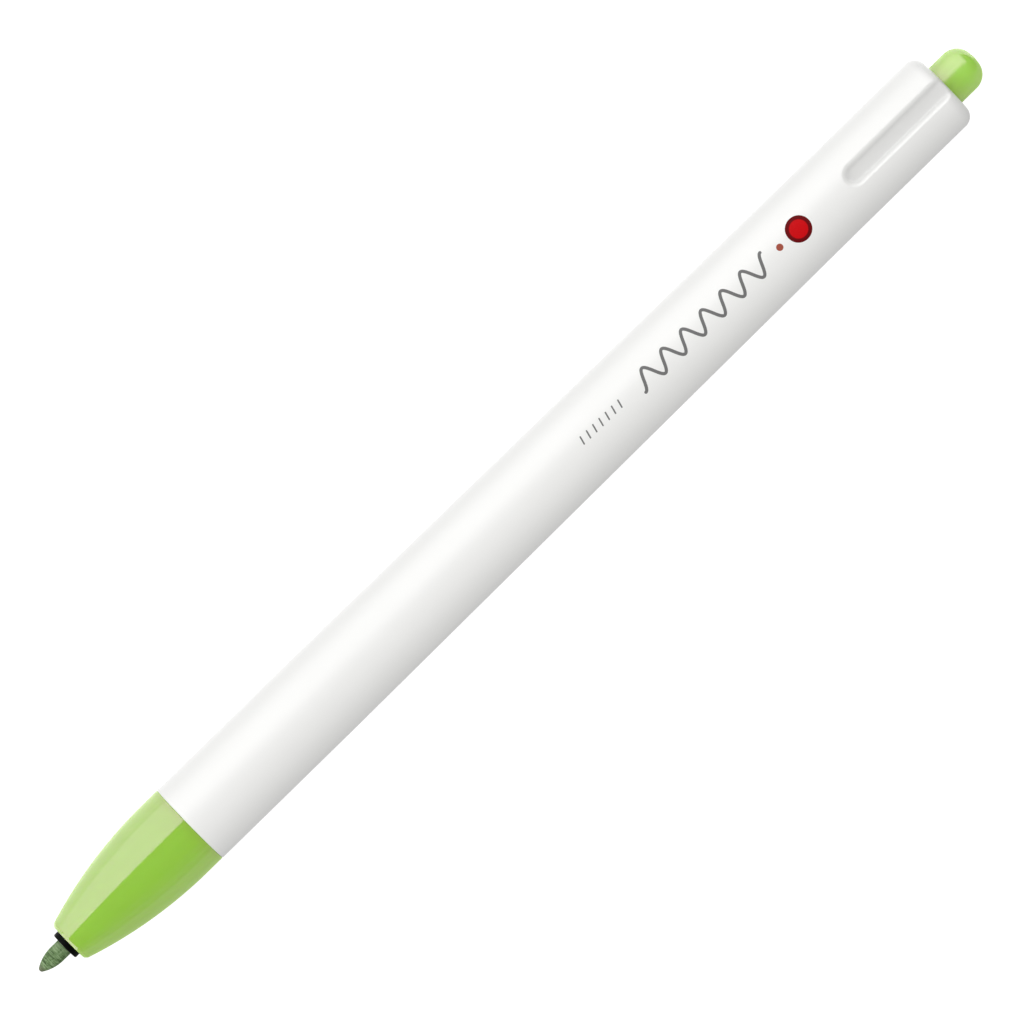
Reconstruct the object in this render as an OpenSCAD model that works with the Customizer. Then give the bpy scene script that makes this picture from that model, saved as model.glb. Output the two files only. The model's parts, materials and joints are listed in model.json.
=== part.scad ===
// Retractable felt-tip marker with a click button, shown with its nib out.
// It lies along X with the nib towards -X, and the lowest line of its barrel rests on Z = 0.
// Inside the modules the pen stands on +Z with its nib point at 0, and on_axis() lays it down.
// A station is a distance behind the nib point, along the pen.

/* [Barrel] */
// Length of the barrel
barrel_length = 114.75; // [114:0.25:125]
// Diameter of the straight stretch behind the nose cone
barrel_front_d = 10.25; // [10.2:0.05:11]
// Diameter of the straight stretch around the click mechanism
barrel_rear_d = 9.45; // [9.4:0.05:10]
// Length of the front straight stretch
barrel_front_straight = 20; // [15:0.5:30]
// Length of the rear straight stretch, shoulder included
barrel_rear_straight = 17.5; // [16:0.5:20]
// Radius of the rounded rear shoulder
shoulder_r = 1.4; // [0.8:0.1:1.6]
// Bore in which the ink cartridge slides
barrel_bore_d = 7.9; // [7.6:0.05:7.9]
// Thickness of the rear end wall
end_wall = 2.05; // [1.5:0.05:2.5]

/* [Groove] */
// Length of the groove, which runs out through the rear end
groove_length = 15.15; // [10:0.05:16]
// Width of the groove
groove_width = 2.8; // [2:0.1:3]
// Depth of the groove
groove_depth = 0.8; // [0.3:0.05:0.9]

/* [Nose cone] */
// Visible length of the nose cone
cone_length = 18.35; // [17:0.05:20]
// Diameter where the nose cone meets the barrel
cone_rear_d = 10.2; // [10:0.05:10.2]
// Diameter behind the front bevel
cone_front_d = 5.3; // [5.1:0.05:5.8]
// Length of the straight stretch in front of the barrel
cone_straight = 2.3; // [1.5:0.1:4]
// Size of the front bevel
cone_bevel = 0.3; // [0.1:0.05:0.4]

/* [Nib and holder] */
// How far the nib stands out of its holder
nib_out = 3.75; // [3.5:0.05:4]
// Diameter of the nib
nib_d = 2; // [1.8:0.05:2.2]
// Length of the nib's tapered point
nib_taper = 2.6; // [2:0.1:3]
// Radius of the rounded point
nib_point_r = 0.35; // [0.3:0.05:0.6]
// Whole length of the nib rod
nib_length = 37; // [36:0.5:38]
// How far the holder's collar stands out of the nose cone
collar_out = 0.7; // [0.6:0.05:1]
// Diameter of the collar
collar_d = 3.4; // [3.2:0.05:3.5]

/* [Cartridge] */
// Outer diameter of the cartridge tube
tube_d = 6.8; // [6.6:0.05:6.8]
// Inner diameter of the cartridge tube
tube_bore_d = 5.9; // [5.8:0.05:6]
// Diameter of the ink fibre rod
fibre_d = 5.5; // [5.3:0.05:5.55]
// Thickness of the film around the fibre rod
film = 0.1; // [0.08:0.01:0.12]

/* [Spring] */
// Wire diameter
wire_d = 0.4; // [0.3:0.05:0.45]
// Mean diameter of the coils
coil_d = 4.6; // [4.4:0.05:4.8]
// Length of the spring with the nib out
spring_length = 10; // [9.5:0.25:10.5]
// Number of open coils
open_coils = 7; // [5:1:8]

/* [Click] */
// How far the button stands out of the barrel with the nib out
button_out = 4.45; // [4:0.05:5]
// Diameter of the button
button_d = 5.2; // [5:0.05:5.25]
// Radius that rounds the button's top
button_round = 2.1; // [1.5:0.1:2.4]
// Travel from nib out to nib in
travel = 5.2; // [5:0.1:5.4]
// Height of the saw teeth
tooth_height = 1; // [0.6:0.1:1.2]

/* [Hidden] */
$fn = 96;

// Radial gaps: of pieces fixed together, and of pieces that run in each other
snug_gap = 0.02;
run_gap = 0.05;
// Axial gap where two moving pieces come closest
end_gap = 0.1;
// How far a cutting solid runs past the face that it cuts
past = 0.1;
// Points along each computed arc
arc_points = 28;

// Stations of the outside
pen_length = nib_out + collar_out + cone_length + barrel_length + button_out;
axis_height = barrel_front_d / 2;
cone_at = nib_out + collar_out;
barrel_at = cone_at + cone_length;
barrel_end = barrel_at + barrel_length;

// Snap joint between the nose cone and the barrel
spigot_d = 8.4;
spigot_length = 8.2;
spigot_bore_d = 7;
bead_at = barrel_at + 5;
bead_length = 0.9;
bead_height = 0.15;
edge_bevel = 0.12;
// Turn of the barrel's outline about the pen, which keeps its seam line out of the groove
seam_turn = 37.5;

// Spring chamber in the nose cone, and the part of the holder that slides in it
nose_bore_d = collar_d + 2 * end_gap;
nose_bore_length = 6.05;
chamber_at = cone_at + nose_bore_length;
chamber_d = 5.8;
chamber_length = 9.5;
chamber_end = chamber_at + chamber_length;
spring_seat = chamber_at + spring_length;
seat_d = 5.6;
seat_length = 1.5;
neck_d = 4.6;
neck_length = 1.9;

// Cartridge, from the holder's rim to the rotor
rim_at = spring_seat + seat_length + neck_length;
rim_length = 1;
tube_at = rim_at + rim_length;
stem_length = 6.1;
holder_end = tube_at + stem_length;
fibre_gap = 2;
fibre_at = holder_end + fibre_gap;
plug_length = 4;
tail_d = 3.8;
pivot_d = 2;
pivot_length = 3;

// Click mechanism, counted forward from the barrel's end wall
wall_at = barrel_end - end_wall;
button_gap = 0.075;
button_hole_d = button_d + 2 * button_gap;
slot_count = 4;
tooth_count = 2 * slot_count;
slot_d = 6;
slot_width = 1.2;
// Turn between the two crowns that lets the plunger push the rotor on as its ribs leave the slots
crown_lead = 90 / tooth_count;
lug_d = slot_d - 2 * run_gap;
lug_width = 1;
rib_slant = lug_width * tooth_height / (lug_d * sin(180 / tooth_count));
lug_length = 6.25;
land_bore_d = 4.8;
plunger_d = land_bore_d - 4 * run_gap;
rotor_d = plunger_d - 2 * run_gap;
crown_bore_d = 2.4;
post_d = 1.8;
guide_d = 6.86;
guide_flange = 1;
guide_front = 7.5;
lug_end = wall_at - travel - run_gap;
lug_at = lug_end - lug_length;
plunger_nose = 2;
crown_root = lug_at - plunger_nose;
rotor_tip = crown_root - tooth_height - end_gap;
rotor_root = rotor_tip - tooth_height;
rotor_neck = 1.5;
rib_end = rotor_root - rotor_neck;
rib_length = 3;
rotor_shoulder = 0.8;
teeth_at = rib_end + run_gap + end_gap;
rotor_at = rib_end - rib_length - rotor_shoulder;
tail_end = rotor_at - end_gap;
guide_at = teeth_at - guide_front;
tube_end = guide_at - travel - rim_length - 3 * end_gap;
fibre_end = tube_end - plug_length - fibre_gap;
button_at = lug_end + run_gap;
button_bore_d = 3.4;
post_out = 1;
button_bore_end = barrel_end + post_out;

// Radius of the arc that leaves a straight line and falls by drop over run
function arc_radius(run, drop) = (run * run + drop * drop) / (2 * drop);

// How far such an arc has fallen after run
function arc_drop(run, radius) = radius - sqrt(radius * radius - run * run);

// Outline points of a quarter round that ends on the plane of the end, as [radius, station]
function shoulder_points(outer_r, end, round_r) = [
    for (i = [0 : arc_points])
        let (angle = 90 * i / arc_points)
            [outer_r - round_r + round_r * cos(angle), end - round_r + round_r * sin(angle)]
];

// Outline points of the nose cone's ogive
function ogive_points() =
    let (
        front = cone_at + cone_bevel,
        run = cone_length - cone_straight - cone_bevel,
        drop = (cone_rear_d - cone_front_d) / 2,
        radius = arc_radius(run, drop)
    )
    [
        for (i = [0 : arc_points])
            let (left = run * (1 - i / arc_points))
                [cone_rear_d / 2 - arc_drop(left, radius), front + run - left]
    ];

// Outline points of the nib's taper: a round point that runs smoothly into a tangent ogive
function nib_points() =
    let (
        nib_r = nib_d / 2,
        span = pow(nib_taper, 2) + pow(nib_r, 2) - 2 * nib_taper * nib_point_r,
        radius = span / (2 * (nib_r - nib_point_r)),
        meet = asin((nib_taper - nib_point_r) / (radius - nib_point_r))
    )
    concat(
        [
            for (i = [0 : arc_points])
                let (angle = 90 - (90 - meet) * i / arc_points)
                    [nib_point_r * cos(angle), nib_point_r * (1 - sin(angle))]
        ],
        [
            for (i = [1 : arc_points])
                let (angle = meet * (1 - i / arc_points))
                    [nib_r - radius * (1 - cos(angle)), nib_taper - radius * sin(angle)]
        ]
    );

// Lays the pen down along X
module on_axis() {
    translate([-pen_length / 2, 0, axis_height])
        rotate([0, 90, 0])
            children();
}

// Solid cylinder between two stations
module rod(from, to, d) {
    translate([0, 0, from])
        cylinder(h = to - from, d = d);
}

// Tube between two stations
module tube(from, to, d, bore_d) {
    difference() {
        rod(from, to, d);
        rod(from - past, to + past, bore_d);
    }
}

// Ring with a bevelled section, for the snap bead and its groove
module bead(at, d, length, height) {
    rotate_extrude()
        polygon([
            [0, at],
            [d / 2, at],
            [d / 2 + height, at + height],
            [d / 2 + height, at + length - height],
            [d / 2, at + length],
            [0, at + length]
        ]);
}

// Copies of a piece, evenly spaced around the pen
module around(count) {
    for (i = [0 : count - 1])
        rotate(360 * i / count)
            children();
}

// Block that stands out along +X, with its end face cut at a slant
module key(from, to, width, reach, slant) {
    rotate([90, 0, 90])
        linear_extrude(reach)
            polygon([
                [-width / 2, from],
                [width / 2, from],
                [width / 2, to],
                [-width / 2, to - slant]
            ]);
}

// Ring of saw teeth on the plane Z = 0, pointing up
module saw_teeth(d, bore_d) {
    sector = 360 / tooth_count;
    half_width = d / 2 * sin(sector / 2);
    difference() {
        around(tooth_count)
            intersection() {
                rotate(-sector / 2)
                    rotate_extrude(angle = sector)
                        square([d / 2, tooth_height]);
                rotate([90, 0, 90])
                    linear_extrude(d)
                        polygon([
                            [-half_width, -past],
                            [half_width + past, -past],
                            [half_width + past, tooth_height],
                            [half_width, tooth_height],
                            [-half_width, 0]
                        ]);
            }
        rod(-past, tooth_height + past, bore_d);
    }
}

// Space of the groove, whose floor is flat
module groove_space() {
    floor_z = axis_height + barrel_rear_d / 2 - groove_depth;
    round_r = groove_width / 2;
    at = barrel_end - groove_length + round_r - pen_length / 2;
    translate([at, 0, floor_z]) {
        cylinder(h = axis_height, r = round_r);
        translate([0, -round_r, 0])
            cube([groove_length, groove_width, axis_height]);
    }
}

// Barrel: tapered tube with a snap groove in front, a stepped bore and an end wall
module barrel() {
    front_r = barrel_front_d / 2;
    socket_d = spigot_d + 2 * snug_gap;
    color("white")
        difference() {
            on_axis()
                difference() {
                    rotate(seam_turn)
                        rotate_extrude()
                            polygon(concat(
                                [
                                    [0, barrel_at],
                                    [front_r - edge_bevel, barrel_at],
                                    [front_r, barrel_at + edge_bevel],
                                    [front_r, barrel_at + barrel_front_straight],
                                    [barrel_rear_d / 2, barrel_end - barrel_rear_straight]
                                ],
                                shoulder_points(barrel_rear_d / 2, barrel_end, shoulder_r),
                                [[0, barrel_end]]
                            ));
                    rod(barrel_at - past, barrel_at + spigot_length + end_gap, socket_d);
                    bead(bead_at - end_gap / 2, socket_d, bead_length + end_gap, bead_height + snug_gap);
                    rod(barrel_at, guide_at + guide_flange, barrel_bore_d);
                    rod(guide_at, wall_at, guide_d + 2 * snug_gap);
                    rod(guide_at, barrel_end + past, button_hole_d);
                }
            groove_space();
        }
}

// Nose cone: ogive shell with the spring's chamber inside and a snap spigot behind
module nose_cone() {
    face_r = cone_front_d / 2 - cone_bevel;
    rear_r = cone_rear_d / 2;
    color("yellowgreen")
        on_axis()
            difference() {
                union() {
                    rotate_extrude()
                        polygon(concat(
                            [[0, cone_at], [face_r, cone_at]],
                            ogive_points(),
                            [
                                [rear_r, barrel_at - edge_bevel],
                                [rear_r - edge_bevel, barrel_at],
                                [0, barrel_at]
                            ]
                        ));
                    rod(barrel_at - past, barrel_at + spigot_length, spigot_d);
                    bead(bead_at, spigot_d, bead_length, bead_height);
                }
                rod(cone_at - past, chamber_end, nose_bore_d);
                rod(chamber_at, chamber_end, chamber_d);
                rod(chamber_end - past, barrel_at + spigot_length + past, spigot_bore_d);
            }
}

// Nib: one fibre rod from the writing point into the reservoir
module nib() {
    color("darkseagreen")
        on_axis()
            rotate_extrude()
                polygon(concat(
                    nib_points(),
                    [[nib_d / 2, nib_length], [0, nib_length]]
                ));
}

// Nib holder: collar and guide in front, spring seat, and a plug for the tube behind
module nib_holder() {
    color("black")
        on_axis()
            difference() {
                union() {
                    bead(nib_out, collar_d - 2 * edge_bevel, spring_seat + seat_length - nib_out, edge_bevel);
                    rod(spring_seat, spring_seat + seat_length, seat_d);
                    rod(spring_seat, rim_at, neck_d);
                    rod(rim_at, tube_at, tube_d);
                    rod(tube_at, holder_end, tube_bore_d - 2 * snug_gap);
                }
                rod(0, nib_length, nib_d + 2 * snug_gap);
            }
}

// Cartridge tube
module refill_tube() {
    color("gainsboro", 0.6)
        on_axis()
            tube(tube_at, tube_end, tube_d, tube_bore_d);
}

// Ink reservoir: fibre rod with a socket for the nib
module ink_reservoir() {
    color("mediumseagreen")
        on_axis()
            difference() {
                rod(fibre_at, fibre_end, fibre_d);
                rod(fibre_at - past, nib_length + end_gap, nib_d + 2 * snug_gap);
            }
}

// Film around the fibre rod
module reservoir_film() {
    film_bore_d = fibre_d + snug_gap;
    color("lightcyan", 0.5)
        on_axis()
            tube(fibre_at, fibre_end, film_bore_d + 2 * film, film_bore_d);
}

// Rear plug of the cartridge, with a tail in which the rotor turns
module refill_plug() {
    color("ivory")
        on_axis()
            difference() {
                union() {
                    rod(tube_end - plug_length, tube_end, tube_bore_d - 2 * snug_gap);
                    rod(tube_end, tube_end + rim_length, tube_d);
                    rod(tube_end, tail_end, tail_d);
                }
                rod(tail_end - pivot_length - end_gap, tail_end + past, pivot_d + 2 * run_gap);
            }
}

// Return spring: closed end coils and open coils between them
module return_spring() {
    sides = 8;
    steps = 16;
    end_pitch = wire_d + 2 * snug_gap;
    open_length = spring_length - wire_d - 2 * end_pitch;
    turns = open_coils + 2;
    rings = turns * steps;
    // Height of the wire's centre after a number of turns
    function rise(turn) =
        end_pitch * (min(turn, 1) + max(0, turn - 1 - open_coils))
        + open_length * min(max(turn - 1, 0), open_coils) / open_coils;
    points = [
        for (ring = [0 : rings], side = [0 : sides - 1])
            let (
                turn = ring / steps,
                around_wire = 360 * side / sides,
                reach = coil_d / 2 + wire_d / 2 * cos(around_wire),
                height = chamber_at + wire_d / 2 + rise(turn) + wire_d / 2 * sin(around_wire)
            )
                [reach * cos(360 * turn), reach * sin(360 * turn), height]
    ];
    faces = concat(
        [[for (side = [0 : sides - 1]) side]],
        [
            for (ring = [0 : rings - 1], side = [0 : sides - 1])
                let (here = ring * sides, next = (side + 1) % sides)
                    [here + side, here + sides + side, here + sides + next, here + next]
        ],
        [[for (side = [sides - 1 : -1 : 0]) rings * sides + side]]
    );
    color("silver")
        on_axis()
            polyhedron(points, faces, convexity = 10);
}

// Cam guide: flanged sleeve with four slots, and saw teeth on the lands between them
module cam_guide() {
    lands_at = teeth_at + tooth_height;
    wide_at = button_at - 2 * tooth_height;
    color("whitesmoke")
        on_axis()
            difference() {
                union() {
                    rod(guide_at, guide_at + guide_flange, barrel_bore_d - 2 * snug_gap);
                    rod(guide_at, wall_at - run_gap, guide_d);
                }
                rod(guide_at - past, teeth_at, slot_d);
                difference() {
                    rod(teeth_at - past, lands_at, slot_d);
                    rotate(180 / tooth_count)
                        translate([0, 0, lands_at])
                            rotate([180, 0, 0])
                                saw_teeth(slot_d + past, land_bore_d);
                }
                rod(lands_at - past, wall_at, land_bore_d);
                rod(wide_at, wall_at, button_hole_d);
                intersection() {
                    rod(teeth_at - past, wall_at, slot_d);
                    around(slot_count)
                        key(teeth_at - past, wall_at, slot_width, slot_d, 0);
                }
            }
}

// Rotor: pivot in front, four ribs with slanted rear ends, crown and centring post behind
module cam_rotor() {
    color("orange")
        on_axis()
            union() {
                rod(rotor_at - pivot_length, rotor_at, pivot_d);
                rod(rotor_at, rotor_root, rotor_d);
                intersection() {
                    rod(rotor_at, rotor_tip, lug_d);
                    around(slot_count)
                        key(rib_end - rib_length, rib_end, lug_width, lug_d, rib_slant);
                }
                translate([0, 0, rotor_root])
                    saw_teeth(rotor_d, crown_bore_d);
                rod(rotor_root, rotor_tip + 2 * tooth_height, post_d);
            }
}

// Plunger: crown in front, four guiding lugs, and a post for the button behind
module plunger() {
    color("lightgray")
        on_axis()
            difference() {
                union() {
                    translate([0, 0, crown_root])
                        rotate([180, 0, crown_lead])
                            saw_teeth(plunger_d, crown_bore_d);
                    rod(crown_root, button_at, plunger_d);
                    intersection() {
                        rod(lug_at, lug_end, lug_d);
                        around(slot_count)
                            key(lug_at, lug_end, lug_width, lug_d, 0);
                    }
                    rod(button_at, button_bore_end - end_gap, button_bore_d - 2 * snug_gap);
                }
                rod(crown_root - tooth_height - past, crown_root + 3 * tooth_height, post_d + 4 * run_gap);
            }
}

// Push button: domed cap on the plunger's post
module push_button() {
    top = pen_length;
    color("yellowgreen")
        on_axis()
            difference() {
                rotate_extrude()
                    polygon(concat(
                        [[0, button_at], [button_d / 2, button_at]],
                        shoulder_points(button_d / 2, top, button_round),
                        [[0, top]]
                    ));
                rod(button_at - past, button_bore_end, button_bore_d);
            }
}

barrel();
nose_cone();
nib();
nib_holder();
refill_tube();
ink_reservoir();
reservoir_film();
refill_plug();
return_spring();
cam_guide();
cam_rotor();
plunger();
push_button();
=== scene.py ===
# Retractable felt-tip marker with a click button: the visual model around its CAD frame.
# A station is a distance behind the nib point along the pen, in millimetres.
import json
import math

import bmesh
import bpy
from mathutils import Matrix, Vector


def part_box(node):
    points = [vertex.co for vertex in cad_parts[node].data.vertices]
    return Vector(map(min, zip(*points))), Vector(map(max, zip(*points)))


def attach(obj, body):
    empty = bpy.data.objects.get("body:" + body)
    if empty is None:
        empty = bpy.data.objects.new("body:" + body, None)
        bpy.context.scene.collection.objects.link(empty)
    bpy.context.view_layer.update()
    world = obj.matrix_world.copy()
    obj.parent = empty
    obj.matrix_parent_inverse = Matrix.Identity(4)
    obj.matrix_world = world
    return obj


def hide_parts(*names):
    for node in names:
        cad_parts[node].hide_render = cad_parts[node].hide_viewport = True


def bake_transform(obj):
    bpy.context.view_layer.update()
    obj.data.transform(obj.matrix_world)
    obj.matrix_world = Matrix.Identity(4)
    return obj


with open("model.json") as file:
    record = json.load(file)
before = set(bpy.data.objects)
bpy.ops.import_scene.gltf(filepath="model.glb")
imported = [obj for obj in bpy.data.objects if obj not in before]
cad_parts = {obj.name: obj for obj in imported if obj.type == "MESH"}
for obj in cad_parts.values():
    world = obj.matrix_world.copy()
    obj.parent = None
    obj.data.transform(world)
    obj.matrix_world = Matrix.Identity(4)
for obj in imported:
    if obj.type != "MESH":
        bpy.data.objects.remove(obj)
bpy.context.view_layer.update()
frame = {"nodes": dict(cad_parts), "record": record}

# ---------------------------------------------------------------- the frame's own sizes

MM = 0.001
MOUNTS = {mount["name"]: mount for mount in frame["record"]["mounts"]}
AXIS_Z = MOUNTS["front_barrel"]["pos_m"][2]
NIB_POINT_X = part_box("nib")[0].x
REAR_R = MOUNTS["rear_barrel"]["dims"]["r_mm"]
BARREL_LOW, BARREL_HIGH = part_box("barrel")
# The CAD mesh is made of flats, so its box is a hair smaller than the round barrel
FRONT_R = min(AXIS_Z - BARREL_LOW.z, BARREL_HIGH.z - AXIS_Z, BARREL_HIGH.y, -BARREL_LOW.y) / MM


def first(node):
    """Station of a node's front end."""
    return (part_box(node)[0].x - NIB_POINT_X) / MM


def last(node):
    """Station of a node's rear end."""
    return (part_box(node)[1].x - NIB_POINT_X) / MM


def radius(node):
    """Largest radius of a node, across the pen."""
    low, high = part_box(node)
    return (high.y - low.y) / 2 / MM


NIB_OUT = first("nib_holder")
CONE_AT = first("nose_cone")
BARREL_AT = first("barrel")
BARREL_END = last("barrel")
PEN_END = last("push_button")

# Spring's chamber, inside the nose cone
NOSE_BORE_LENGTH = 6.05
CHAMBER_AT = CONE_AT + NOSE_BORE_LENGTH
CHAMBER_LENGTH = 9.5
SPRING_SEAT = CHAMBER_AT + 10

# Snap joint between the nose cone and the barrel
SPIGOT_R = 4.2
SPIGOT_LENGTH = 8.2
SPIGOT_BORE_R = 3.5
BEAD_AT = BARREL_AT + 5
BEAD_LENGTH = 0.9
BEAD_HEIGHT = 0.15
JOINT_ROUND = 0.13

GROOVE_LENGTH = 15.15
GROOVE_WIDTH = 2.8
GROOVE_DEPTH = 0.8
GROOVE_FLOOR_WIDTH = 2.0
# Centre of the groove's round front end
GROOVE_AT = BARREL_END - GROOVE_LENGTH + GROOVE_WIDTH / 2

# ---------------------------------------------------------------- outlines


def rounded(corners, arc_points=8):
    """Outline through (station, radius, fillet) corners, each rounded by its fillet."""
    points = []
    count = len(corners)
    for i, (s, r, fillet) in enumerate(corners):
        here = Vector((s, r))
        if fillet <= 0:
            points.append((s, r))
            continue
        before = (Vector(corners[i - 1][:2]) - here).normalized()
        after = (Vector(corners[(i + 1) % count][:2]) - here).normalized()
        half = before.angle(after) / 2
        reach = fillet / math.tan(half)
        centre = here + (before + after).normalized() * (fillet / math.sin(half))
        start = here + before * reach - centre
        end = here + after * reach - centre
        turn = start.angle_signed(end)
        for k in range(arc_points + 1):
            angle = turn * k / arc_points
            c, n = math.cos(angle), math.sin(angle)
            spoke = Vector((start.x * c + start.y * n, -start.x * n + start.y * c))
            points.append(tuple(centre + spoke))
    return points


def arc_fall(run, drop):
    """Radius of an arc that leaves a straight line and falls by drop over run."""
    return (run * run + drop * drop) / (2 * drop)


def on_pen(station, r, angle):
    """Point at a station, a radius and an angle from straight up towards +Y."""
    return Vector((
        NIB_POINT_X + station * MM,
        r * MM * math.sin(angle),
        AXIS_Z + r * MM * math.cos(angle),
    ))


def finish_mesh(name, mesh_data, sharp_deg=35):
    """Object from a bmesh, shaded smooth with sharp edges past an angle."""
    bmesh.ops.recalc_face_normals(mesh_data, faces=mesh_data.faces)
    mesh = bpy.data.meshes.new(name)
    mesh_data.to_mesh(mesh)
    mesh_data.free()
    mesh.polygons.foreach_set("use_smooth", [True] * len(mesh.polygons))
    mesh.set_sharp_from_angle(angle=math.radians(sharp_deg))
    piece = bpy.data.objects.new(name, mesh)
    bpy.context.collection.objects.link(piece)
    return piece


def lathe(name, outline, angles=192, shape=None, sharp_deg=35):
    """Closed solid of revolution about the pen. shape(station, radius, angle) may change a radius."""
    if isinstance(angles, int):
        angles = [2 * math.pi * k / angles for k in range(angles)]
    data = bmesh.new()
    rings = []
    for s, r in outline:
        if r < 1e-6:
            rings.append([data.verts.new(on_pen(s, 0, 0))])
        else:
            rings.append([
                data.verts.new(on_pen(s, shape(s, r, a) if shape else r, a)) for a in angles
            ])
    count = len(angles)
    for i, ring in enumerate(rings):
        after = rings[(i + 1) % len(rings)]
        if len(ring) == 1 and len(after) == 1:
            continue
        for k in range(count):
            n = (k + 1) % count
            if len(ring) == 1:
                data.faces.new((ring[0], after[k], after[n]))
            elif len(after) == 1:
                data.faces.new((ring[k], after[0], ring[n]))
            else:
                data.faces.new((ring[k], after[k], after[n], ring[n]))
    return finish_mesh(name, data, sharp_deg)


# ---------------------------------------------------------------- materials


class Nodes:
    """Short way to build a node material around one Principled shader."""

    def __init__(self, name):
        self.material = bpy.data.materials.new(name)
        self.material.use_nodes = True
        self.tree = self.material.node_tree
        self.shader = self.tree.nodes["Principled BSDF"]

    def node(self, kind, **values):
        made = self.tree.nodes.new(kind)
        for key, value in values.items():
            setattr(made, key, value)
        return made

    def link(self, output, target):
        self.tree.links.new(output, target)

    def set(self, **values):
        for key, value in values.items():
            self.shader.inputs[key.replace("_", " ")].default_value = value

    def position(self, scale=(1, 1, 1)):
        """Object coordinates in millimetres, stretched."""
        place = self.node("ShaderNodeTexCoord")
        mapping = self.node("ShaderNodeMapping")
        mapping.inputs["Scale"].default_value = [k / MM for k in scale]
        self.link(place.outputs["Object"], mapping.inputs["Vector"])
        return mapping.outputs["Vector"]

    def noise(self, vector, scale, detail=3, rough=0.5):
        made = self.node("ShaderNodeTexNoise")
        made.inputs["Scale"].default_value = scale
        made.inputs["Detail"].default_value = detail
        made.inputs["Roughness"].default_value = rough
        self.link(vector, made.inputs["Vector"])
        return made.outputs["Fac"]

    def calc(self, operation, a, b, c=0.0):
        """Result of a calculation on sockets or plain values."""
        made = self.node("ShaderNodeMath", operation=operation)
        for place, value in zip(made.inputs, (a, b, c)):
            if isinstance(value, (int, float)):
                place.default_value = value
            else:
                self.link(value, place)
        return made.outputs[0]

    def axes(self):
        """The three object coordinates in millimetres."""
        parts = self.node("ShaderNodeSeparateXYZ")
        self.link(self.position(), parts.inputs[0])
        return parts.outputs

    def mix(self, factor, first_colour, second_colour):
        """Blend of two colours, which are the inputs 6 and 7 of the node."""
        made = self.node("ShaderNodeMix", data_type="RGBA")
        self.link(factor, made.inputs["Factor"])
        self.link(first_colour, made.inputs[6])
        self.link(second_colour, made.inputs[7])
        return made.outputs[2]

    def ramp(self, fac, stops):
        made = self.node("ShaderNodeValToRGB")
        elements = made.color_ramp.elements
        while len(elements) < len(stops):
            elements.new(0.5)
        for element, (at, colour) in zip(elements, stops):
            element.position = at
            element.color = (*colour, 1)
        self.link(fac, made.inputs["Fac"])
        return made.outputs["Color"]

    def span(self, fac, low, high, start=0.0, end=1.0, smooth=False):
        """Value that goes from low to high while fac goes from start to end."""
        made = self.node("ShaderNodeMapRange")
        if smooth:
            made.interpolation_type = "SMOOTHSTEP"
        made.inputs["From Min"].default_value = start
        made.inputs["From Max"].default_value = end
        made.inputs["To Min"].default_value = low
        made.inputs["To Max"].default_value = high
        self.link(fac, made.inputs["Value"])
        return made.outputs["Result"]

    def bump(self, height, distance_mm):
        made = self.node("ShaderNodeBump")
        made.inputs["Strength"].default_value = 1.0
        made.inputs["Distance"].default_value = distance_mm * MM
        self.link(height, made.inputs["Height"])
        return made.outputs["Normal"]


def scaled(colour, k):
    """Colour made brighter or darker by a factor."""
    return tuple(min(1.0, channel * k) for channel in colour)


def moulded(name, colour, rough, mottle=0.03, grain_mm=0.004, **shader):
    """Moulded plastic: faint mottle in the colour, uneven gloss and a fine surface grain."""
    m = Nodes(name)
    broad = m.noise(m.position((0.25, 1, 1)), 0.35, 4)
    m.link(m.ramp(broad, [(0.3, scaled(colour, 1 - mottle)), (0.7, scaled(colour, 1 + mottle))]),
           m.shader.inputs["Base Color"])
    fine = m.noise(m.position(), 9.0, 5, 0.6)
    m.link(m.span(fine, rough * 0.85, rough * 1.15), m.shader.inputs["Roughness"])
    if grain_mm:
        m.link(m.bump(fine, grain_mm), m.shader.inputs["Normal"])
    m.set(**shader)
    return m.material


def barrel_satin():
    """Satin white plastic, with painted shade on the groove's floor: the colour there is darkened in
    place of the shade in the recess.
    """
    m = Nodes("barrel_satin_white")
    broad = m.noise(m.position((0.25, 1, 1)), 0.35, 4)
    plain = m.ramp(broad, [(0.3, scaled(WHITE, 0.992)), (0.7, scaled(WHITE, 1.008))])
    # Painted shade: a darker copy of the white, laid on the groove's floor in place of the shade in
    # the recess
    grey = m.ramp(broad, [(0.3, scaled(WHITE, 0.81)), (0.7, scaled(WHITE, 0.83))])
    # Distance from the groove's middle line, made large on the lower half of the barrel
    x, y, z = m.axes()
    flat = m.node("ShaderNodeCombineXYZ")
    ahead = m.calc("SUBTRACT", on_pen(GROOVE_AT, 0, 0).x / MM, x)
    m.link(m.calc("MAXIMUM", ahead, 0), flat.inputs["X"])
    m.link(y, flat.inputs["Y"])
    m.link(m.calc("MULTIPLY", m.calc("LESS_THAN", z, AXIS_Z / MM), 10), flat.inputs["Z"])
    reach = m.node("ShaderNodeVectorMath", operation="LENGTH")
    m.link(flat.outputs[0], reach.inputs[0])
    floor_edge, fade = GROOVE_FLOOR_WIDTH / 2, 0.25
    # Mask of the painted shade, full on the groove's floor and fading out at its edges
    painted_groove_shade = m.span(reach.outputs["Value"], 0, 1, floor_edge + fade, floor_edge - fade, smooth=True)
    m.link(m.mix(painted_groove_shade, plain, grey), m.shader.inputs["Base Color"])
    fine = m.noise(m.position(), 9.0, 5, 0.6)
    m.link(m.span(fine, 0.31, 0.41), m.shader.inputs["Roughness"])
    m.link(m.bump(fine, 0.003), m.shader.inputs["Normal"])
    m.set(Specular_IOR_Level=0.36)
    return m.material


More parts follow.
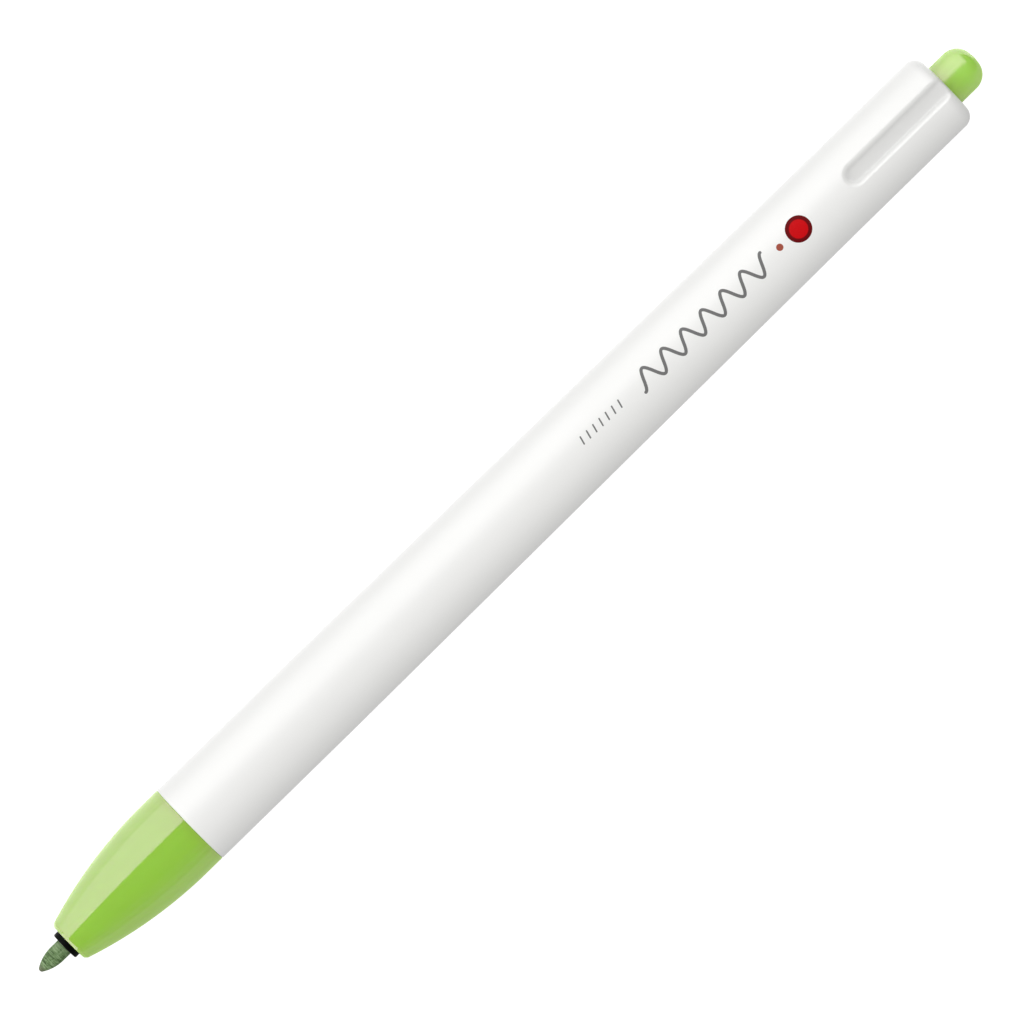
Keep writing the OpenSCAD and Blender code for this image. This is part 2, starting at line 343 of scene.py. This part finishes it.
def nib_felt():
    """Pressed fibre: fine broken lines across the rod, fainter ones along it and a worn point."""
    m = Nodes("nib_felt")
    across = m.noise(m.position((7, 0.8, 0.8)), 1.0, 4, 0.65)
    along = m.noise(m.position((0.8, 8, 8)), 1.0, 4, 0.6)
    lines = m.calc("MULTIPLY_ADD", across, 0.7, m.span(along, 0, 0.3))
    dyed = m.ramp(lines, [
        (0.38, (0.035, 0.070, 0.020)), (0.47, (0.120, 0.215, 0.075)), (0.58, (0.26, 0.38, 0.19)),
    ])
    worn = m.ramp(lines, [(0.34, (0.05, 0.045, 0.03)), (0.6, (0.17, 0.16, 0.11))])
    point_x, worn_length = NIB_POINT_X / MM, 0.9
    wear = m.span(m.axes()[0], 0.75, 0, point_x, point_x + worn_length, smooth=True)
    m.link(m.mix(wear, dyed, worn), m.shader.inputs["Base Color"])
    m.link(m.bump(lines, 0.12), m.shader.inputs["Normal"])
    m.set(Roughness=0.85, Specular_IOR_Level=0.3)
    return m.material


def steel():
    """Drawn spring wire."""
    m = Nodes("spring_steel")
    fine = m.noise(m.position(), 12, 4)
    m.link(m.ramp(fine, [(0.3, (0.50, 0.50, 0.51)), (0.7, (0.66, 0.66, 0.67))]),
           m.shader.inputs["Base Color"])
    m.link(m.span(fine, 0.22, 0.38), m.shader.inputs["Roughness"])
    m.set(Metallic=1.0)
    return m.material


def fibre_rod():
    """Bundled fibres soaked with ink, with lines along the rod."""
    m = Nodes("ink_fibre")
    lines = m.noise(m.position((0.15, 7, 7)), 1.0, 5, 0.65)
    m.link(m.ramp(lines, [(0.3, (0.10, 0.30, 0.06)), (0.7, (0.28, 0.55, 0.18))]),
           m.shader.inputs["Base Color"])
    m.link(m.bump(lines, 0.08), m.shader.inputs["Normal"])
    m.set(Roughness=0.9)
    return m.material


def printed(name, colour, edge_colour=None, centre=None, edge_r=0.0):
    """Printing ink, a little uneven, with a darker rim around a round print."""
    m = Nodes(name)
    speck = m.noise(m.position(), 8, 4, 0.6)
    ink = m.ramp(speck, [(0.3, scaled(colour, 0.94)), (0.7, scaled(colour, 1.06))])
    if edge_colour:
        reach = m.node("ShaderNodeVectorMath", operation="DISTANCE")
        m.link(m.position(), reach.inputs[0])
        reach.inputs[1].default_value = [c / MM for c in centre]
        fade = 0.06
        outside = m.span(reach.outputs["Value"], 0, 1, edge_r - fade, edge_r + fade)
        rim = m.ramp(speck, [(0.3, scaled(edge_colour, 0.94)), (0.7, scaled(edge_colour, 1.06))])
        ink = m.mix(outside, ink, rim)
    m.link(ink, m.shader.inputs["Base Color"])
    m.link(m.span(speck, 0.42, 0.58), m.shader.inputs["Roughness"])
    m.set(Specular_IOR_Level=0.04)
    return m.material


WHITE = (0.86, 0.86, 0.85)
GREEN = (0.33, 0.62, 0.075)
# Paler than GREEN: partly the button's own paler colour, partly painted light that makes up for the
# dimmer room light at the button's end
BUTTON_GREEN = (0.395, 0.72, 0.115)

barrel_plastic = barrel_satin()
# Glossy, slightly translucent plastic
GREEN_SHADER = {
    "IOR": 1.9, "Specular_Tint": (1.0, 0.55, 0.95, 1.0),
    "Subsurface_Weight": 0.6, "Subsurface_Scale": 0.004, "Subsurface_Radius": (0.6, 1.0, 0.3),
    "Sheen_Weight": 0.9, "Sheen_Roughness": 0.6, "Sheen_Tint": (0.6, 1.0, 0.1, 1.0),
}
green_plastic = moulded("gloss_green", GREEN, 0.07, mottle=0.02, grain_mm=0.0, **GREEN_SHADER)
button_plastic = moulded(
    "button_green", BUTTON_GREEN, 0.25, mottle=0.02, grain_mm=0.001, **GREEN_SHADER)
black_plastic = moulded(
    "holder_black", (0.003, 0.0035, 0.003), 0.5, mottle=0.2, Specular_IOR_Level=0.03)


# ---------------------------------------------------------------- barrel

SHOULDER_R = 1.4
FRONT_STRAIGHT = 20.0
REAR_STRAIGHT = 17.5
BUTTON_HOLE_R = 2.675
END_WALL = 2.05
BORE_R = 3.95
GUIDE_BORE_R = 3.45
GUIDE_FLANGE_END = first("cam_guide") + 1
SOCKET_R = 4.22
SOCKET_END = BARREL_AT + 8.3
# Angle around the pen that the groove stays within, and the part of it with fine steps
GROOVE_SIDE = math.radians(40)
FINE_SIDE = math.radians(26)


def smooth_min(a, b, k):
    """Smaller of two values, blended over a width of k."""
    h = max(k - abs(a - b), 0) / k
    return min(a, b) - h * h * k / 4


def groove_cut(station, r, angle):
    """Radius of the barrel's outside with the groove pressed into it."""
    if r < BUTTON_HOLE_R + 0.3 or abs(angle) > GROOVE_SIDE:
        return r
    across = r * math.sin(angle)
    ahead = max(GROOVE_AT - station, 0)
    outside = math.hypot(across, ahead) - GROOVE_FLOOR_WIDTH / 2
    wall_slope, floor_round, edge_blend = 2.0, 0.15, 0.42
    rise = wall_slope * (math.hypot(outside, floor_round) + outside) / 2
    floor_r = (REAR_R - GROOVE_DEPTH + rise) / math.cos(angle)
    return smooth_min(r, floor_r, edge_blend)


# Depth of the barrel's flat front face, from its outside
FACE_WIDTH = 0.9


def barrel_outline():
    """Closed outline of the barrel, with fine steps along the groove."""
    outer = rounded([
        (BARREL_AT, FRONT_R - FACE_WIDTH, 0),
        (BARREL_AT, FRONT_R, JOINT_ROUND),
        (BARREL_AT + FRONT_STRAIGHT, FRONT_R, 0),
        (BARREL_END - REAR_STRAIGHT, REAR_R, 0),
    ], 6)
    groove_from = BARREL_END - GROOVE_LENGTH - 0.8
    shoulder_at = BARREL_END - SHOULDER_R
    fine_until = groove_from + 3.2
    s = groove_from
    while s < shoulder_at - 0.02:
        outer.append((s, REAR_R))
        s += 0.06 if s < fine_until else 0.4
    for k in range(29):
        a = math.radians(90 * k / 28)
        outer.append((
            shoulder_at + SHOULDER_R * math.sin(a),
            REAR_R - SHOULDER_R + SHOULDER_R * math.cos(a),
        ))
    inner = rounded([
        (BARREL_END, REAR_R - SHOULDER_R, 0),
        (BARREL_END, BUTTON_HOLE_R, 0.12),
        (BARREL_END - END_WALL, BUTTON_HOLE_R, 0),
        (BARREL_END - END_WALL, GUIDE_BORE_R, 0),
        (GUIDE_FLANGE_END, GUIDE_BORE_R, 0),
        (GUIDE_FLANGE_END, BORE_R, 0),
        (SOCKET_END, BORE_R, 0),
        (SOCKET_END, SOCKET_R, 0),
        (BARREL_AT, SOCKET_R, 0),
    ], 6)[1:]
    return outer + inner


def make_barrel():
    fine_steps, coarse_steps = 104, 110
    rest = 2 * (math.pi - FINE_SIDE)
    fine = [FINE_SIDE * (2 * k / fine_steps - 1) for k in range(fine_steps + 1)]
    coarse = [FINE_SIDE + rest * k / coarse_steps for k in range(1, coarse_steps)]
    angles = fine + [a - 2 * math.pi if a > math.pi else a for a in coarse]
    piece = lathe("barrel_shell", barrel_outline(), angles, groove_cut, sharp_deg=40)
    piece.data.materials.append(barrel_plastic)
    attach(piece, "shell")
    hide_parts("barrel")
    return piece


# ---------------------------------------------------------------- nose cone

CONE_LENGTH = BARREL_AT - CONE_AT
CONE_REAR_R = 5.1
CONE_FRONT_R = 2.65
CONE_STRAIGHT = 2.3
CONE_BEVEL = 0.3
CHAMBER_R = 2.9
NOSE_BORE_R = 1.8


def make_nose_cone():
    front = CONE_AT + CONE_BEVEL
    run = CONE_LENGTH - CONE_STRAIGHT - CONE_BEVEL
    arc = arc_fall(run, CONE_REAR_R - CONE_FRONT_R)
    ogive = []
    for k in range(61):
        left = run * (1 - k / 60)
        ogive.append((front + run - left, CONE_REAR_R - arc + math.sqrt(arc * arc - left * left)))
    bead_end = BEAD_AT + BEAD_LENGTH
    spigot_end = BARREL_AT + SPIGOT_LENGTH
    chamber_end = CHAMBER_AT + CHAMBER_LENGTH
    rear = rounded([
        (BARREL_AT - 1, CONE_REAR_R, 0),
        (BARREL_AT, CONE_REAR_R, JOINT_ROUND),
        (BARREL_AT, SPIGOT_R, 0),
        (BEAD_AT, SPIGOT_R, 0),
        (BEAD_AT + BEAD_HEIGHT, SPIGOT_R + BEAD_HEIGHT, 0),
        (bead_end - BEAD_HEIGHT, SPIGOT_R + BEAD_HEIGHT, 0),
        (bead_end, SPIGOT_R, 0),
        (spigot_end, SPIGOT_R, 0.2),
        (spigot_end, SPIGOT_BORE_R, 0),
        (chamber_end, SPIGOT_BORE_R, 0),
        (chamber_end, CHAMBER_R, 0),
        (CHAMBER_AT, CHAMBER_R, 0),
        (CHAMBER_AT, NOSE_BORE_R, 0),
        (CONE_AT, NOSE_BORE_R, 0.1),
        (CONE_AT, CONE_FRONT_R - CONE_BEVEL, 0.06),
        ogive[0] + (0.05,),
        ogive[1] + (0,),
    ], 6)
    outline = rear[:-1] + ogive[1:-1]
    piece = lathe("nose_cone_shell", outline, 256)
    piece.data.materials.append(green_plastic)
    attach(piece, "shell")
    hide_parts("nose_cone")
    return piece


# ---------------------------------------------------------------- nib and holder

NIB_R = 1.0
NIB_TAPER = 2.6
NIB_POINT_R = 0.35
NIB_BORE_R = NIB_R + 0.02
COLLAR_R = 1.7
SEAT_R = 2.8
NECK_R = 2.3
RIM_R = 3.4
STEM_R = 2.93


def make_nib():
    """Rod with a round point that runs smoothly into a tangent ogive."""
    r, t, p = NIB_R, NIB_TAPER, NIB_POINT_R
    arc = (t * t + r * r - 2 * t * p) / (2 * (r - p))
    meet = math.asin((t - p) / (arc - p))
    outline = [(0, 0)]
    for k in range(1, 33):
        a = math.pi / 2 - (math.pi / 2 - meet) * k / 32
        outline.append((p * (1 - math.sin(a)), p * math.cos(a)))
    for k in range(1, 33):
        a = meet * (1 - k / 32)
        outline.append((t - arc * math.sin(a), r - arc * (1 - math.cos(a))))
    end = last("nib")
    outline += [(t + (end - t) * k / 20, r) for k in range(1, 21)] + [(end, 0)]
    piece = lathe("nib_fibre_rod", outline, 96)
    piece.data.materials.append(nib_felt())
    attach(piece, "cartridge")
    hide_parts("nib")
    return piece


def make_holder():
    seat_end = SPRING_SEAT + 1.5
    rim = SPRING_SEAT + 3.4
    rim_end = rim + 1
    end = last("nib_holder")
    outline = rounded([
        (NIB_OUT, NIB_BORE_R, 0.05),
        (NIB_OUT, COLLAR_R, 0.16),
        (SPRING_SEAT, COLLAR_R, 0),
        (SPRING_SEAT, SEAT_R, 0.08),
        (seat_end, SEAT_R, 0.08),
        (seat_end, NECK_R, 0),
        (rim, NECK_R, 0),
        (rim, RIM_R, 0.08),
        (rim_end, RIM_R, 0.08),
        (rim_end, STEM_R, 0),
        (end, STEM_R, 0.15),
        (end, NIB_BORE_R, 0),
    ], 6)
    piece = lathe("nib_holder_body", outline, 128)
    piece.data.materials.append(black_plastic)
    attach(piece, "cartridge")
    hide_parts("nib_holder")
    return piece


# ---------------------------------------------------------------- button


def make_button():
    """Cap with a rounded and slightly crowned end, bored for the plunger's post."""
    r = radius("push_button")
    at = first("push_button")
    fillet = 2.1
    crown = 0.06
    post_r, post_end = 1.7, BARREL_END + 1
    flat = r - fillet
    round_at = PEN_END - crown - fillet
    outline = [(at, post_r), (at, r)]
    for k in range(33):
        a = math.pi / 2 * k / 32
        outline.append((round_at + fillet * math.sin(a), flat + fillet * math.cos(a)))
    for k in range(1, 7):
        share = 1 - k / 6
        outline.append((PEN_END - crown * share * share, flat * share))
    outline += [(post_end, 0), (post_end, post_r)]
    piece = lathe("button_cap", outline, 192)
    piece.data.materials.append(button_plastic)
    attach(piece, "click_button")
    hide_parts("push_button")
    return piece


# ---------------------------------------------------------------- spring


def make_spring():
    """Round wire wound as a compression spring with closed ends."""
    front, end = first("return_spring"), last("return_spring")
    wire, coil_r, open_coils, sides, steps = 0.2, 2.3, 7, 16, 48
    end_pitch = 0.44
    open_length = end - front - 2 * wire - 2 * end_pitch
    turns = open_coils + 2
    data = bmesh.new()
    rings = []
    for i in range(turns * steps + 1):
        turn = i / steps
        rise = end_pitch * (min(turn, 1) + max(0, turn - 1 - open_coils))
        rise += open_length * min(max(turn - 1, 0), open_coils) / open_coils
        ring = []
        for k in range(sides):
            a = 2 * math.pi * k / sides
            ring.append(data.verts.new(on_pen(
                front + wire + rise + wire * math.sin(a),
                coil_r + wire * math.cos(a),
                2 * math.pi * turn,
            )))
        rings.append(ring)
    for before, after in zip(rings, rings[1:]):
        for k in range(sides):
            n = (k + 1) % sides
            data.faces.new((before[k], before[n], after[n], after[k]))
    data.faces.new(rings[0])
    data.faces.new(rings[-1][::-1])
    piece = finish_mesh("spring_coil", data)
    piece.data.materials.append(steel())
    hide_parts("return_spring")
    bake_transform(piece)
    return piece


# ---------------------------------------------------------------- prints

PRINT_LIFT = 0.006
PRINT_DEPTH = 0.006
PRINT_STEP = 0.2


def barrel_r(station):
    """Radius of the barrel's outside, away from the groove."""
    taper_at = BARREL_AT + FRONT_STRAIGHT
    taper_end = BARREL_END - REAR_STRAIGHT
    share = min(max((station - taper_at) / (taper_end - taper_at), 0), 1)
    return FRONT_R + (REAR_R - FRONT_R) * share


def on_barrel(station, across, lift):
    """Point on top of the barrel, across measured around it."""
    r = barrel_r(station)
    return on_pen(station, r + lift, across / r)


def film(name, rows, material, closed=False):
    """Thin print on the barrel. rows are equal lists of (station, across) points, from side to side.

    A closed print has rings for rows, the innermost around its middle.
    """
    data = bmesh.new()
    top = [[data.verts.new(on_barrel(s, y, PRINT_LIFT)) for s, y in row] for row in rows]
    under = [[data.verts.new(on_barrel(s, y, -PRINT_DEPTH)) for s, y in row] for row in rows]
    count = len(rows[0])
    links = count if closed else count - 1
    for before, after in zip(top, top[1:]):
        for k in range(links):
            n = (k + 1) % count
            data.faces.new((before[k], before[n], after[n], after[k]))
    for before, after in zip(under, under[1:]):
        for k in range(links):
            n = (k + 1) % count
            data.faces.new((before[k], after[k], after[n], before[n]))
    sides = [(top[-1], under[-1])]
    if closed:
        data.faces.new(top[0])
        data.faces.new(under[0][::-1])
    else:
        sides += [(top[0], under[0]),
                  ([row[0] for row in top], [row[0] for row in under]),
                  ([row[-1] for row in top], [row[-1] for row in under])]
    for upper, lower in sides:
        for k in range(len(upper) if closed else len(upper) - 1):
            n = (k + 1) % len(upper)
            data.faces.new((upper[k], upper[n], lower[n], lower[k]))
    piece = finish_mesh(name, data, 30)
    piece.data.materials.append(material)
    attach(piece, "shell")
    return piece


def stroke(name, path, width, material):
    """Printed line of even width along a path of (station, across) points, with round ends."""
    half = width / 2
    points = [Vector(p) for p in path]
    tangents = []
    for i in range(len(points)):
        a, b = points[max(i - 1, 0)], points[min(i + 1, len(points) - 1)]
        tangents.append((b - a).normalized())
    # Rows of a middle point, a direction and half a width
    cap = 6
    cap_angles = [math.pi / 2 * k / cap for k in range(1, cap + 1)]
    start, end = tangents[0], tangents[-1]
    rows = [(points[0] - start * half * math.cos(a), start, half * math.sin(a)) for a in cap_angles]
    rows += [(p, t, half) for p, t in zip(points[1:-1], tangents[1:-1])]
    rows += [
        (points[-1] + end * half * math.cos(a), end, half * math.sin(a)) for a in reversed(cap_angles)
    ]
    across = [-1, -0.5, 0, 0.5, 1]
    grid = [[tuple(p + Vector((-t.y, t.x)) * h * c) for c in across] for p, t, h in rows]
    return film(name, grid, material)


def spot(name, station, across, r, material):
    """Printed round spot of rings around a small flat middle."""
    rings = max(3, round(r / PRINT_STEP))
    turns = [2 * math.pi * k / 64 for k in range(64)]
    rows = []
    for i in range(1, rings + 1):
        reach = r * i / rings
        rows.append([(station + reach * math.cos(a), across + reach * math.sin(a)) for a in turns])
    return film(name, rows, material, closed=True)


def make_dots():
    """Red dot with a dark rim, and a small spot beside it."""
    at, r, rim = 115.2, 1.5, 0.45
    red = printed("print_red", (0.57, 0.003, 0.006), edge_colour=(0.14, 0.003, 0.005),
                  centre=on_pen(at, barrel_r(at), 0), edge_r=r - rim)
    orange = printed("print_orange_red", (0.36, 0.085, 0.055))
    spot("print_dot", at, 0, r, red)
    spot("print_spot", 112.35, 0, 0.4, orange)


def make_lines():
    """Wavy line and a row of slanted ticks."""
    grey = printed("print_grey", (0.175, 0.175, 0.175))
    start, end, waves, height, steps = 91.0, 110.4, 6.5, 1.1, 260
    wave = []
    for k in range(steps + 1):
        share = k / steps
        wave.append((start + (end - start) * share, -height * math.cos(2 * math.pi * waves * share)))
    stroke("print_wave", wave, 0.36, grey)
    first_tick, pitch, slant, reach, points = 82.3, 0.95, 0.21, 0.42, 3
    for k in range(7):
        at = first_tick + pitch * k
        tick = [(at + slant * i / points, reach * (2 * i / points - 1)) for i in range(points + 1)]
        stroke(f"print_tick_{k + 1}", tick, 0.17, grey)


# ---------------------------------------------------------------- hidden pieces keep their CAD shape


def refinish_inside():
    """New materials for the pieces that keep their CAD meshes."""
    finishes = {
        "refill_tube": moulded(
            "tube_clear", (0.82, 0.86, 0.87), 0.18, IOR=1.49, Transmission_Weight=0.85),
        "ink_reservoir": fibre_rod(),
        "reservoir_film": moulded(
            "film_clear", (0.85, 0.9, 0.92), 0.12, IOR=1.5, Transmission_Weight=0.9),
        "refill_plug": moulded("plug_natural", (0.80, 0.77, 0.68), 0.4, mottle=0.03),
        "cam_guide": moulded("cam_white", (0.78, 0.78, 0.76), 0.38, mottle=0.02),
        "cam_rotor": moulded("rotor_natural", (0.82, 0.52, 0.16), 0.35, mottle=0.04),
        "plunger": moulded("cam_white_plunger", (0.74, 0.74, 0.72), 0.35, mottle=0.02),
    }
    for node, material in finishes.items():
        for place in frame["nodes"][node].material_slots:
            place.material = material


# ---------------------------------------------------------------- floor, light and camera

HEADING = math.radians(44.35)
LENS, SENSOR = 600, 36
FRAME_WIDTH = 111.27 * MM
SHIFT_RIGHT, SHIFT_UP = 0.5433 * MM, 0.2173 * MM
TABLE_LIGHT = 0.33
ROOM_LIGHT = 0.80
LIGHT_SLANT = 0.2


def make_floor():
    """White floor that glows a little and stays out of the pen's own light and reflections."""
    data = bmesh.new()
    side = 1.6
    corners = [(-side, -side), (side, -side), (side, side), (-side, side)]
    data.faces.new([data.verts.new((x, y, 0)) for x, y in corners])
    mesh = bpy.data.meshes.new("floor")
    data.to_mesh(mesh)
    data.free()
    floor = bpy.data.objects.new("floor", mesh)
    bpy.context.collection.objects.link(floor)
    m = Nodes("floor_white")
    m.set(Base_Color=(0.3, 0.3, 0.3, 1), Roughness=1.0, Specular_IOR_Level=0.0,
          Emission_Color=(1, 1, 1, 1), Emission_Strength=0.9)
    mesh.materials.append(m.material)
    floor.visible_diffuse = False
    floor.visible_glossy = False


def card(name, radiance, width, low, high, glossy):
    """Large soft light around a line from low to high, for matt surfaces or for gloss only."""
    low, high = Vector(low), Vector(high)
    up = high - low
    # Its width runs along the pen, or across the pen when it stands beyond an end
    side = Vector((0, 1, 0)) if low.x else Vector((1, 0, 0))
    facing = up.cross(side).normalized()
    middle = (low + high) / 2
    if facing.dot(-middle) < 0:
        facing = -facing
    light = bpy.data.lights.new(name, "AREA")
    light.shape = "RECTANGLE"
    light.size = width
    light.size_y = up.length
    light.energy = radiance * math.pi * width * up.length
    lamp = bpy.data.objects.new(name, light)
    bpy.context.collection.objects.link(lamp)
    lamp.location = middle
    lamp.rotation_euler = facing.to_track_quat("-Z", "Y").to_euler()
    lamp.visible_camera = False
    lamp.visible_diffuse = not glossy
    lamp.visible_glossy = glossy


def make_light():
    """Soft room light and cards that face the pen from both sides and from the front."""
    world = bpy.data.worlds.new("studio")
    bpy.context.scene.world = world
    world.use_nodes = True
    tree = world.node_tree
    back = tree.nodes["Background"]
    back.inputs["Color"].default_value = (1.0, 0.998, 0.99, 1)
    # Dimmer below the horizon, as light thrown back by a table is
    direction = tree.nodes.new("ShaderNodeTexCoord")
    height = tree.nodes.new("ShaderNodeSeparateXYZ")
    level = tree.nodes.new("ShaderNodeMapRange")
    tree.links.new(direction.outputs["Generated"], height.inputs["Vector"])
    tree.links.new(height.outputs["Z"], level.inputs["Value"])
    level.inputs["From Min"].default_value = -0.1
    level.inputs["From Max"].default_value = 0.1
    level.inputs["To Min"].default_value = TABLE_LIGHT
    level.inputs["To Max"].default_value = ROOM_LIGHT
    # Most of the light comes from the nib's end of the room
    slant = tree.nodes.new("ShaderNodeMath")
    slant.operation = "MULTIPLY_ADD"
    tree.links.new(height.outputs["X"], slant.inputs[0])
    slant.inputs[1].default_value = -LIGHT_SLANT
    slant.inputs[2].default_value = 1
    strength = tree.nodes.new("ShaderNodeMath")
    strength.operation = "MULTIPLY"
    tree.links.new(level.outputs["Result"], strength.inputs[0])
    tree.links.new(slant.outputs[0], strength.inputs[1])
    tree.links.new(strength.outputs[0], back.inputs["Strength"])
    world.cycles_visibility.glossy = False
    card("softbox_fill", 0.68, 2.4, (0, 0.87, 0.50), (0, 0.105, 0.60), glossy=False)
    card("softbox_gloss", 2.7, 2.4, (0, 1.0, 0.0), (0, 0.172, 0.58), glossy=True)
    card("table_gloss_left", 2.0, 2.4, (0, 1.0, 0.0), (0, 0.0, -0.8), glossy=True)
    card("wall_gloss_high", 0.15, 2.4, (0, -0.94, 0.342), (0, -0.766, 0.643), glossy=True)
    card("wall_gloss_low", 0.40, 2.4, (0, -1.0, 0.0), (0, -0.94, 0.342), glossy=True)
    card("table_gloss_right", 0.75, 2.4, (0, -1.0, 0.0), (0, 0.0, -0.8), glossy=True)
    card("front_gloss", 3.0, 0.4, (-0.5, 0, -0.4), (-0.5, 0, 0.2), glossy=True)
    bpy.context.scene.view_settings.view_transform = "Standard"


def make_camera():
    """Long lens straight above the pen, turned so that the pen lies aslant in the picture."""
    right = Vector((math.cos(HEADING), -math.sin(HEADING), 0))
    up = Vector((math.sin(HEADING), math.cos(HEADING), 0))
    centre = Vector((NIB_POINT_X + PEN_END / 2 * MM, 0, AXIS_Z))
    target = centre + right * SHIFT_RIGHT + up * SHIFT_UP
    camera = bpy.data.cameras.new("camera")
    camera.lens = LENS
    camera.sensor_width = SENSOR
    camera.clip_start = 0.01
    eye = bpy.data.objects.new("camera", camera)
    bpy.context.collection.objects.link(eye)
    eye.location = target + Vector((0, 0, FRAME_WIDTH * LENS / SENSOR))
    eye.rotation_euler = (0, 0, -HEADING)
    bpy.context.scene.camera = eye


make_camera()
make_floor()
make_light()
make_barrel()
make_nose_cone()
make_nib()
make_holder()
make_button()
make_spring()
make_dots()
make_lines()
refinish_inside()
